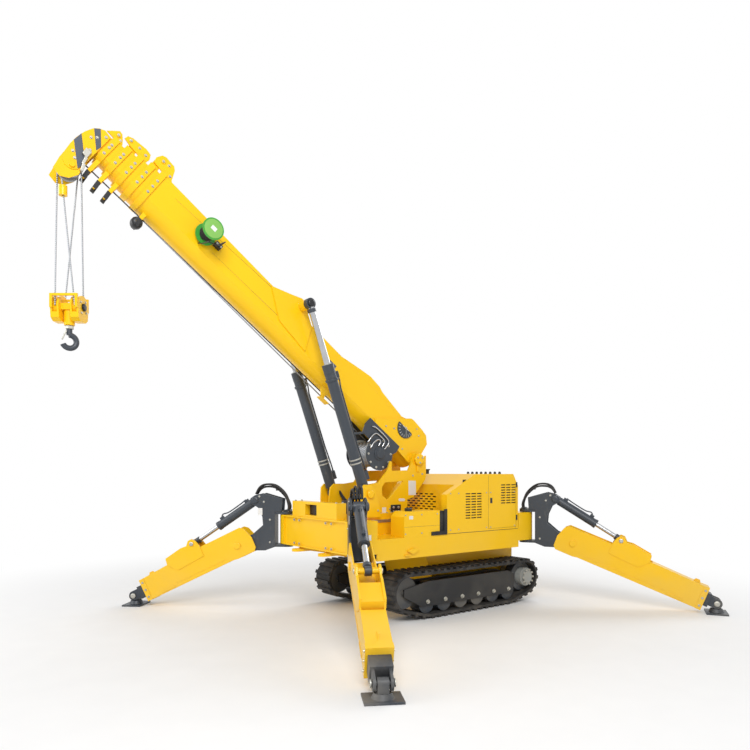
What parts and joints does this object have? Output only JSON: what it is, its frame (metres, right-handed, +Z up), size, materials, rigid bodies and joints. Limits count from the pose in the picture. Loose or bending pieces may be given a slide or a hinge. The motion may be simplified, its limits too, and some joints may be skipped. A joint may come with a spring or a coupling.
{
  "type": "tracked spider crane",
  "caption": "Compact crawler crane: six-section telescopic boom on a slewing turret, twin luffing cylinders, winch and hook block, swing-out legs with telescopic feet on a tracked chassis.",
  "frame": {"origin": "on the ground under the turret's slewing axis", "axes": "+X forward, towards the boom's head as it stands; +Y to the left; +Z up"},
  "size_m": [7.2687, 5.9192, 5.0939],
  "materials": {
    "yellow_paint": "gloss paint with a little orange peel",
    "charcoal_paint": "satin dark blue-grey paint",
    "grey_paint": "satin grey paint",
    "bright_rod": "hard chrome, polished",
    "bare_steel": "machined steel and bright wire rope",
    "track_rubber": "moulded black rubber, dusty on the lugs",
    "green_paint": "gloss green paint"
  },
  "bodies": {
    "root": {"chassis_frame": "yellow_paint", "front_box": "yellow_paint", "side_tanks": "yellow_paint", "track_frames": "charcoal_paint", "track_rollers": "charcoal_paint", "drive_covers": "grey_paint", "track_left": "track_rubber", "track_right": "track_rubber", "engine_housing": "yellow_paint", "radiator_grille": "yellow_paint", "engine_block": "grey_paint", "control_stand": "charcoal_paint", "slew_ring": "bare_steel"},
    "turret": {"turret_frame": "yellow_paint", "slew_motor": "charcoal_paint"},
    "boom_1": {"boom_section_1": "yellow_paint", "boom_fittings": "charcoal_paint", "winch_frame": "charcoal_paint"},
    "winch_drum": {"winch_drum": "grey_paint"},
    "cable_reel": {"cable_reel": "green_paint"},
    "boom_2": {"boom_section_2": "yellow_paint"},
    "boom_3": {"boom_section_3": "yellow_paint"},
    "boom_4": {"boom_section_4": "yellow_paint"},
    "boom_5": {"boom_section_5": "yellow_paint"},
    "boom_6": {"boom_section_6": "yellow_paint"},
    "head_sheaves": {"head_sheaves": "bare_steel"},
    "luff_barrels": {"luff_barrels": "charcoal_paint"},
    "luff_rods": {"luff_rods": "bright_rod"},
    "falls": {"rope_falls": "bare_steel", "limit_weight": "yellow_paint"},
    "hook_block": {"hook_block": "yellow_paint"},
    "hook": {"hook": "charcoal_paint"},
    "bracket_fl": {"bracket_fl": "charcoal_paint"},
    "leg_fl": {"leg_fl": "yellow_paint"},
    "ram_barrel_fl": {"ram_barrel_fl": "charcoal_paint"},
    "ram_rod_fl": {"ram_rod_fl": "bright_rod"},
    "inner_leg_fl": {"inner_leg_fl": "charcoal_paint"},
    "foot_fl": {"foot_fl": "charcoal_paint"},
    "bracket_fr": {"bracket_fr": "charcoal_paint"},
    "leg_fr": {"leg_fr": "yellow_paint"},
    "ram_barrel_fr": {"ram_barrel_fr": "charcoal_paint"},
    "ram_rod_fr": {"ram_rod_fr": "bright_rod"},
    "inner_leg_fr": {"inner_leg_fr": "charcoal_paint"},
    "foot_fr": {"foot_fr": "charcoal_paint"},
    "bracket_rl": {"bracket_rl": "charcoal_paint"},
    "leg_rl": {"leg_rl": "yellow_paint"},
    "ram_barrel_rl": {"ram_barrel_rl": "charcoal_paint"},
    "ram_rod_rl": {"ram_rod_rl": "bright_rod"},
    "inner_leg_rl": {"inner_leg_rl": "charcoal_paint"},
    "foot_rl": {"foot_rl": "charcoal_paint"},
    "bracket_rr": {"bracket_rr": "charcoal_paint"},
    "leg_rr": {"leg_rr": "yellow_paint"},
    "ram_barrel_rr": {"ram_barrel_rr": "charcoal_paint"},
    "ram_rod_rr": {"ram_rod_rr": "bright_rod"},
    "inner_leg_rr": {"inner_leg_rr": "charcoal_paint"},
    "foot_rr": {"foot_rr": "charcoal_paint"}
  },
  "joints": [
    {"name": "slew", "type": "hinge", "parent": "root", "child": "turret", "pos_m": [0, 0, 1.185], "axis": [0, 0, 1], "continuous": true},
    {"name": "luff", "type": "hinge", "parent": "turret", "child": "boom_1", "pos_m": [-0.68, 0, 1.93], "axis": [0, -1, 0], "range_deg": [-36.5, 41.5]},
    {"name": "telescope", "type": "slide", "parent": "boom_1", "child": "boom_2", "axis": [0.8039, 0, 0.5948], "range_m": [0, 3.3]},
    {"name": "telescope_3", "type": "slide", "parent": "boom_2", "child": "boom_3", "axis": [0.8039, 0, 0.5948], "range_m": [0, 3.3]},
    {"name": "telescope_4", "type": "slide", "parent": "boom_3", "child": "boom_4", "axis": [0.8039, 0, 0.5948], "range_m": [0, 3.3]},
    {"name": "telescope_5", "type": "slide", "parent": "boom_4", "child": "boom_5", "axis": [0.8039, 0, 0.5948], "range_m": [0, 3.3]},
    {"name": "telescope_6", "type": "slide", "parent": "boom_5", "child": "boom_6", "axis": [0.8039, 0, 0.5948], "range_m": [0, 3.3]},
    {"name": "luff_barrel", "type": "hinge", "parent": "turret", "child": "luff_barrels", "pos_m": [0.22, 0, 1.5], "axis": [0, -1, 0], "range_deg": [-36, 41]},
    {"name": "luff_rod", "type": "slide", "parent": "luff_barrels", "child": "luff_rods", "axis": [0.3382, 0, 0.9411], "range_m": [-0.6, 0.68]},
    {"name": "winch", "type": "hinge", "parent": "boom_1", "child": "winch_drum", "pos_m": [-0.10438, 0, 1.99269], "axis": [0, 1, 0], "continuous": true},
    {"name": "reel_turn", "type": "hinge", "parent": "boom_1", "child": "cable_reel", "pos_m": [2.17352, 0.3, 4.23183], "axis": [0, 1, 0], "continuous": true},
    {"name": "sheave_turn", "type": "hinge", "parent": "boom_6", "child": "head_sheaves", "pos_m": [3.43558, 0, 4.63949], "axis": [0, 1, 0], "continuous": true},
    {"name": "falls_swing", "type": "hinge", "parent": "boom_6", "child": "falls", "pos_m": [3.43558, 0, 4.63949], "axis": [0, -1, 0], "range_deg": [-41.5, 36.5]},
    {"name": "hoist", "type": "slide", "parent": "falls", "child": "hook_block", "axis": [0, 0, -1], "range_m": [-0.75, 2.85], "deforming": ["rope_falls"]},
    {"name": "hook_swivel", "type": "hinge", "parent": "hook_block", "child": "hook", "pos_m": [3.43558, 0, 3.1], "axis": [0, 0, 1], "continuous": true},
    {"name": "swing_fl", "type": "hinge", "parent": "root", "child": "bracket_fl", "pos_m": [0.665, 0.765, 1], "axis": [0, 0, 1], "range_deg": [-60.3, 29.7]},
    {"name": "lift_fl", "type": "hinge", "parent": "bracket_fl", "child": "leg_fl", "pos_m": [0.97714, 1.31224, 0.81], "axis": [-0.8686, 0.4955, 0], "range_deg": [-38.42, 11.58]},
    {"name": "ram_fl", "type": "hinge", "parent": "bracket_fl", "child": "ram_barrel_fl", "pos_m": [0.86318, 1.11245, 1.4], "axis": [-0.8686, 0.4955, 0], "range_deg": [-20, 12]},
    {"name": "ram_rod_fl", "type": "slide", "parent": "ram_barrel_fl", "child": "ram_rod_fl", "axis": [0.4146, 0.7268, -0.5476], "range_m": [-0.31, 0.13]},
    {"name": "extend_fl", "type": "slide", "parent": "leg_fl", "child": "inner_leg_fl", "axis": [0.4546, 0.7971, -0.3974], "range_m": [0, 0.5]},
    {"name": "foot_fl", "type": "hinge", "parent": "inner_leg_fl", "child": "foot_fl", "pos_m": [1.75501, 2.67599, 0.13], "axis": [-0.8686, 0.4955, 0], "range_deg": [-20, 20]},
    {"name": "swing_fr", "type": "hinge", "parent": "root", "child": "bracket_fr", "pos_m": [0.665, -0.765, 1], "axis": [0, 0, -1], "range_deg": [-42.8, 47.2]},
    {"name": "lift_fr", "type": "hinge", "parent": "bracket_fr", "child": "leg_fr", "pos_m": [1.12725, -1.19305, 0.81], "axis": [0.6794, 0.7337, 0], "range_deg": [-40.67, 9.33]},
    {"name": "ram_fr", "type": "hinge", "parent": "bracket_fr", "child": "ram_barrel_fr", "pos_m": [0.95849, -1.03678, 1.4], "axis": [0.6794, 0.7337, 0], "range_deg": [-20, 12]},
    {"name": "ram_rod_fr", "type": "slide", "parent": "ram_barrel_fr", "child": "ram_rod_fr", "axis": [0.6062, -0.5613, -0.5634], "range_m": [-0.31, 0.13]},
    {"name": "extend_fr", "type": "slide", "parent": "leg_fr", "child": "inner_leg_fr", "axis": [0.6613, -0.6124, -0.4331], "range_m": [0, 0.5]},
    {"name": "foot_fr", "type": "hinge", "parent": "inner_leg_fr", "child": "foot_fr", "pos_m": [2.16548, -2.15446, 0.13], "axis": [0.6794, 0.7337, 0], "range_deg": [-20, 20]},
    {"name": "swing_rl", "type": "hinge", "parent": "root", "child": "bracket_rl", "pos_m": [-2.24, 0.765, 1], "axis": [0, 0, -1], "range_deg": [-58.8, 31.2]},
    {"name": "lift_rl", "type": "hinge", "parent": "bracket_rl", "child": "leg_rl", "pos_m": [-2.56636, 1.30388, 0.81], "axis": [-0.8554, -0.518, 0], "range_deg": [-36.62, 13.38]},
    {"name": "ram_rl", "type": "hinge", "parent": "bracket_rl", "child": "ram_barrel_rl", "pos_m": [-2.44721, 1.10715, 1.4], "axis": [-0.8554, -0.518, 0], "range_deg": [-20, 12]},
    {"name": "ram_rod_rl", "type": "slide", "parent": "ram_barrel_rl", "child": "ram_rod_rl", "axis": [-0.4377, 0.7228, -0.5348], "range_m": [-0.31, 0.13]},
    {"name": "extend_rl", "type": "slide", "parent": "leg_rl", "child": "inner_leg_rl", "axis": [-0.4816, 0.7952, -0.3684], "range_m": [0, 0.5]},
    {"name": "foot_rl", "type": "hinge", "parent": "inner_leg_rl", "child": "foot_rl", "pos_m": [-3.45529, 2.77169, 0.13], "axis": [-0.8554, -0.518, 0], "range_deg": [-20, 20]},
    {"name": "swing_rr", "type": "hinge", "parent": "root", "child": "bracket_rr", "pos_m": [-2.24, -0.765, 1], "axis": [0, 0, 1], "range_deg": [-58.8, 31.2]},
    {"name": "lift_rr", "type": "hinge", "parent": "bracket_rr", "child": "leg_rr", "pos_m": [-2.56636, -1.30388, 0.81], "axis": [0.8554, -0.518, 0], "range_deg": [-36.62, 13.38]},
    {"name": "ram_rr", "type": "hinge", "parent": "bracket_rr", "child": "ram_barrel_rr", "pos_m": [-2.44721, -1.10715, 1.4], "axis": [0.8554, -0.518, 0], "range_deg": [-20, 12]},
    {"name": "ram_rod_rr", "type": "slide", "parent": "ram_barrel_rr", "child": "ram_rod_rr", "axis": [-0.4377, -0.7228, -0.5348], "range_m": [-0.31, 0.13]},
    {"name": "extend_rr", "type": "slide", "parent": "leg_rr", "child": "inner_leg_rr", "axis": [-0.4816, -0.7952, -0.3684], "range_m": [0, 0.5]},
    {"name": "foot_rr", "type": "hinge", "parent": "inner_leg_rr", "child": "foot_rr", "pos_m": [-3.45529, -2.77169, 0.13], "axis": [0.8554, -0.518, 0], "range_deg": [-20, 20]}
  ],
  "couplings": [
    {"joint": "telescope_3", "follows": "telescope", "ratio": 1},
    {"joint": "telescope_4", "follows": "telescope", "ratio": 1},
    {"joint": "telescope_5", "follows": "telescope", "ratio": 1},
    {"joint": "telescope_6", "follows": "telescope", "ratio": 1},
    {"joint": "luff_barrel", "follows": "luff", "ratio": 0.98},
    {"joint": "luff_rod", "follows": "luff", "m_per_rad": 0.925},
    {"joint": "falls_swing", "follows": "luff", "ratio": -1},
    {"joint": "ram_fl", "follows": "lift_fl", "ratio": 0.48},
    {"joint": "ram_rod_fl", "follows": "lift_fl", "m_per_rad": 0.42},
    {"joint": "ram_fr", "follows": "lift_fr", "ratio": 0.48},
    {"joint": "ram_rod_fr", "follows": "lift_fr", "m_per_rad": 0.42},
    {"joint": "ram_rl", "follows": "lift_rl", "ratio": 0.48},
    {"joint": "ram_rod_rl", "follows": "lift_rl", "m_per_rad": 0.42},
    {"joint": "ram_rr", "follows": "lift_rr", "ratio": 0.48},
    {"joint": "ram_rod_rr", "follows": "lift_rr", "m_per_rad": 0.42}
  ]
}
